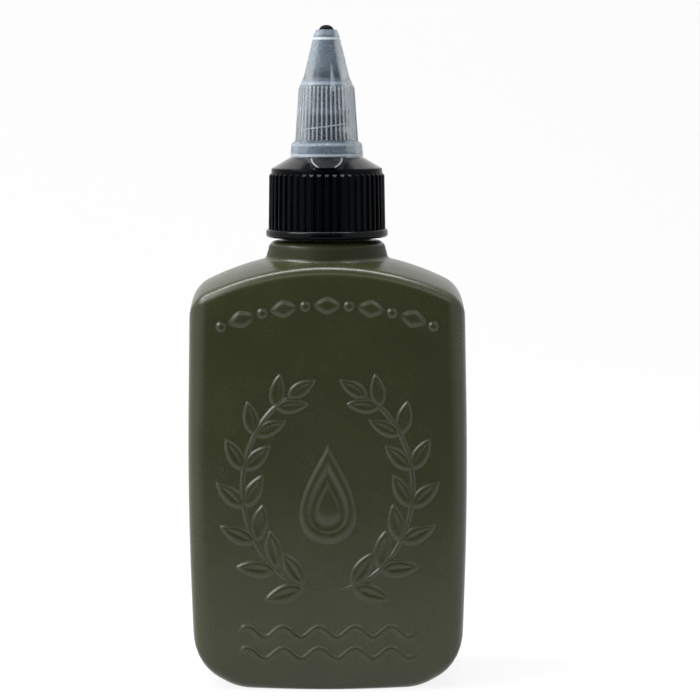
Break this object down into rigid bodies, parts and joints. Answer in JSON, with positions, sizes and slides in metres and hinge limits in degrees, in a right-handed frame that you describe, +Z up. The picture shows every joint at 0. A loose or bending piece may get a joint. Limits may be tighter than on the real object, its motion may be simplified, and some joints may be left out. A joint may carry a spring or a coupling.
{
  "type": "condiment squeeze bottle",
  "caption": "Flat squeeze bottle with arched shoulders, a ribbed screw closure and a translucent spout that twists up off its plug to open.",
  "frame": {"origin": "on the floor under the middle of the bottle", "axes": "+Z up along the neck, +X to the right across the wide front, front face towards -Y"},
  "size_m": [0.0528, 0.03, 0.1252],
  "materials": {
    "bottle": "satin olive polyethylene",
    "neck_liner": "white foamed liner",
    "screw_cap": "satin black polypropylene",
    "spout_seal": "clear soft silicone",
    "twist_spout": "natural translucent polyethylene"
  },
  "bodies": {
    "bottle": {"bottle": "bottle"},
    "liner": {"neck_liner": "neck_liner"},
    "closure": {"screw_cap": "screw_cap"},
    "seal": {"spout_seal": "spout_seal"},
    "spout": {"twist_spout": "twist_spout"}
  },
  "joints": [
    {"name": "closure_lift", "type": "slide", "parent": "bottle", "child": "liner", "axis": [0, 0, 1], "range_m": [0, 0.0127]},
    {"name": "closure_turn", "type": "hinge", "parent": "liner", "child": "closure", "pos_m": [0, 0, 0.09], "axis": [0, 0, 1], "range_deg": [0, 1440.1]},
    {"name": "spout_lift", "type": "slide", "parent": "closure", "child": "seal", "axis": [0, 0, 1], "range_m": [0, 0.0034]},
    {"name": "spout_turn", "type": "hinge", "parent": "seal", "child": "spout", "pos_m": [0, 0, 0.108], "axis": [0, 0, 1], "range_deg": [0, 360.1]}
  ],
  "couplings": [
    {"joint": "closure_turn", "follows": "closure_lift", "rad_per_m": 1979},
    {"joint": "spout_turn", "follows": "spout_lift", "rad_per_m": 1848}
  ]
}
